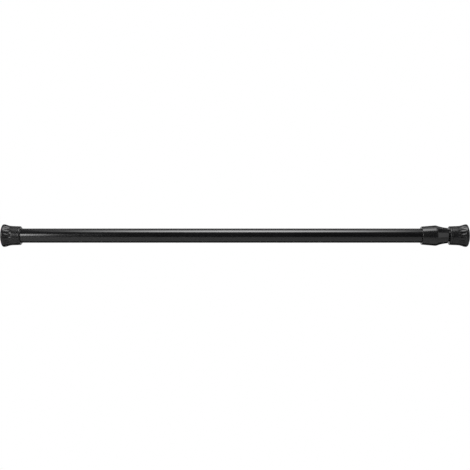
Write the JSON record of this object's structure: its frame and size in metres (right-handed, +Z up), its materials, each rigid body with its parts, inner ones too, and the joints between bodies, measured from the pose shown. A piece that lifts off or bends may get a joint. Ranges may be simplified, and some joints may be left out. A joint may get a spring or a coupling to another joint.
{
  "type": "extendable curtain rod",
  "caption": "Telescopic tension curtain rod with fluted end caps, rubber wall pads, a tapered collar and a twist-lock with a spring inside.",
  "frame": {"origin": "centre of the left wall pad's face, on the rod's axis", "axes": "+X along the rod from the left pad to the right pad, +Z up, -Y towards the viewer of the picture"},
  "size_m": [0.52, 0.0252, 0.0252],
  "materials": {
    "black_coat": "gloss",
    "black_plastic": "satin",
    "pad_rubber": "matte",
    "ring_rubber": "matte",
    "pale_plastic": "satin",
    "spring_steel": "satin",
    "zinc_steel": "satin"
  },
  "bodies": {
    "outer_half": {"outer_tube": "black_coat", "left_end_cap": "black_plastic", "left_wall_pad": "pad_rubber", "collar": "black_plastic"},
    "guide": {"guide_ring": "pale_plastic"},
    "inner_half": {"inner_tube": "black_coat", "end_bush": "pale_plastic", "right_end_cap": "black_plastic", "right_wall_pad": "pad_rubber", "spring": "spring_steel", "spring_stop": "pale_plastic"},
    "spindle": {"lock_spindle": "pale_plastic", "spring_washer": "zinc_steel", "tip_washer": "zinc_steel", "tip_screw": "zinc_steel"},
    "expander": {"expander_sleeve": "pale_plastic", "drag_ring": "ring_rubber"},
    "wedge": {"wedge_cone": "pale_plastic"}
  },
  "joints": [
    {"name": "extend", "type": "slide", "parent": "outer_half", "child": "guide", "axis": [1, 0, 0], "range_m": [-0.001, 0.37]},
    {"name": "twist", "type": "hinge", "parent": "guide", "child": "inner_half", "pos_m": [0.11, 0, 0], "axis": [-1, 0, 0], "range_deg": [0, 720]},
    {"name": "spring_travel", "type": "slide", "parent": "inner_half", "child": "spindle", "axis": [1, 0, 0], "range_m": [0, 0.025], "stiffness_N_per_m": 1650, "springref_m": -0.01, "deforming": ["spring"]},
    {"name": "expander_turn", "type": "hinge", "parent": "spindle", "child": "expander", "pos_m": [0.0795, 0, 0], "axis": [-1, 0, 0], "range_deg": [-720, 0]},
    {"name": "wedge_draw", "type": "slide", "parent": "expander", "child": "wedge", "axis": [1, 0, 0], "range_m": [0, 0.003]}
  ],
  "couplings": [
    {"joint": "expander_turn", "follows": "twist", "ratio": -1},
    {"joint": "wedge_draw", "follows": "twist", "m_per_rad": 0.00023873}
  ]
}
